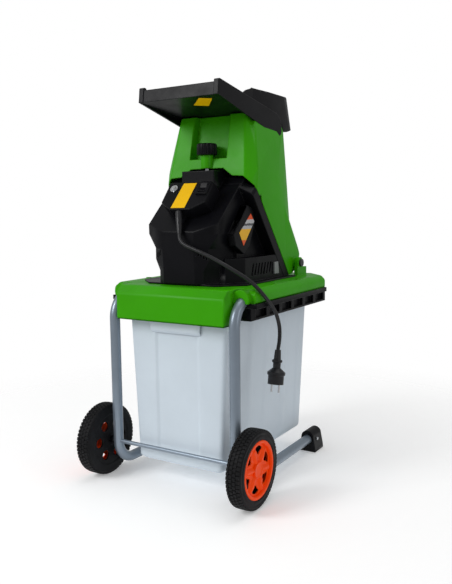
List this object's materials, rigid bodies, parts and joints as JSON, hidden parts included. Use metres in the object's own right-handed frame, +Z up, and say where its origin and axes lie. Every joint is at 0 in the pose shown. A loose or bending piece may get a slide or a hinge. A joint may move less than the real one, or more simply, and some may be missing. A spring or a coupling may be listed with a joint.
{
  "type": "electric garden shredder",
  "caption": "Electric garden shredder on a two-wheeled tube frame, with a tilting feed hopper, a sliding collection bin and a hanging mains cord.",
  "frame": {"origin": "middle of the bounding box on the ground, under the machine", "axes": "+Z up, +Y the side the bin slides out to and the hopper tilts to, +X to the right of someone facing +Y, the side the cord hangs on"},
  "size_m": [0.4695, 0.57, 0.957],
  "materials": {
    "frame_steel": "satin",
    "bare_steel": "satin",
    "bright_steel": "gloss",
    "dark_steel": "satin",
    "green_plastic": "gloss",
    "black_plastic": "satin",
    "frosted_plastic": "satin",
    "orange_plastic": "gloss",
    "label_amber": "gloss",
    "wheel_rubber": "matte",
    "cord_rubber": "satin",
    "copper_wire": "satin",
    "cast_grey": "satin",
    "red_plastic": "satin",
    "white_plastic": "satin"
  },
  "bodies": {
    "base": {"frame_tube_left": "frame_steel", "frame_tube_right": "frame_steel", "axle_rod": "frame_steel", "axle_spacers": "black_plastic", "foot_left": "black_plastic", "foot_right": "black_plastic", "foot_screws": "bare_steel", "frame_bolts": "bare_steel", "base_cover": "green_plastic", "base_skirt": "black_plastic", "base_screws": "bare_steel", "motor_housing": "black_plastic", "control_panel": "black_plastic", "panel_label": "label_amber", "side_panel_left": "black_plastic", "side_panel_right": "black_plastic", "side_label": "label_amber", "latch_catches": "cast_grey", "housing_screws": "bare_steel", "cutting_chamber": "cast_grey", "motor_stator": "dark_steel", "field_coils": "copper_wire", "motor_end_bell": "black_plastic", "brush_holders": "copper_wire", "bearing_upper": "bare_steel", "bearing_lower": "bare_steel", "safety_switch": "red_plastic", "switch_body": "black_plastic", "overload_breaker": "bright_steel", "strain_relief": "cord_rubber", "mains_cord": "cord_rubber", "mains_plug": "cord_rubber", "plug_pins": "bright_steel", "hinge_screws": "dark_steel"},
    "rotor": {"rotor_shaft": "bare_steel", "armature_core": "dark_steel", "commutator": "copper_wire", "cooling_fan": "white_plastic", "blade_disc": "bare_steel", "knife_blades": "bare_steel", "blade_screws": "bare_steel", "disc_bolt": "bare_steel"},
    "hopper": {"hopper_housing": "green_plastic", "hopper_top": "black_plastic", "chute_liner": "black_plastic", "feed_plate": "dark_steel", "hopper_label": "label_amber", "hopper_screws": "bare_steel"},
    "knob": {"locking_knob": "black_plastic", "knob_screw": "bare_steel"},
    "rocker": {"switch_rocker": "black_plastic"},
    "reset": {"reset_button": "bright_steel"},
    "bin": {"collection_bin": "frosted_plastic"},
    "left_wheel": {"wheel_left": "wheel_rubber", "hub_cap_left": "orange_plastic"},
    "right_wheel": {"wheel_right": "wheel_rubber", "hub_cap_right": "orange_plastic"}
  },
  "joints": [
    {"name": "rotor_spin", "type": "hinge", "parent": "base", "child": "rotor", "pos_m": [0, 0.052, 0.625], "axis": [0, 0.788, 0.6157], "continuous": true},
    {"name": "hopper_tilt", "type": "hinge", "parent": "base", "child": "hopper", "pos_m": [0, 0.194, 0.52], "axis": [-1, 0, 0], "range_deg": [0, 75]},
    {"name": "knob_turn", "type": "hinge", "parent": "hopper", "child": "knob", "pos_m": [0, -0.032, 0.8], "axis": [0, 0, 1], "continuous": true},
    {"name": "bin_slide", "type": "slide", "parent": "base", "child": "bin", "axis": [0, 1, 0], "range_m": [0, 0.44]},
    {"name": "rocker_tilt", "type": "hinge", "parent": "base", "child": "rocker", "pos_m": [0.044, -0.11514, 0.71232], "axis": [1, 0, 0], "range_deg": [-14, 0]},
    {"name": "reset_press", "type": "slide", "parent": "base", "child": "reset", "axis": [0, 0.766, -0.6428], "range_m": [0, 0.003], "stiffness_N_per_m": 400},
    {"name": "wheel_left_spin", "type": "hinge", "parent": "base", "child": "left_wheel", "pos_m": [-0.2, -0.195, 0.09], "axis": [1, 0, 0], "continuous": true},
    {"name": "wheel_right_spin", "type": "hinge", "parent": "base", "child": "right_wheel", "pos_m": [0.2, -0.195, 0.09], "axis": [1, 0, 0], "continuous": true}
  ]
}
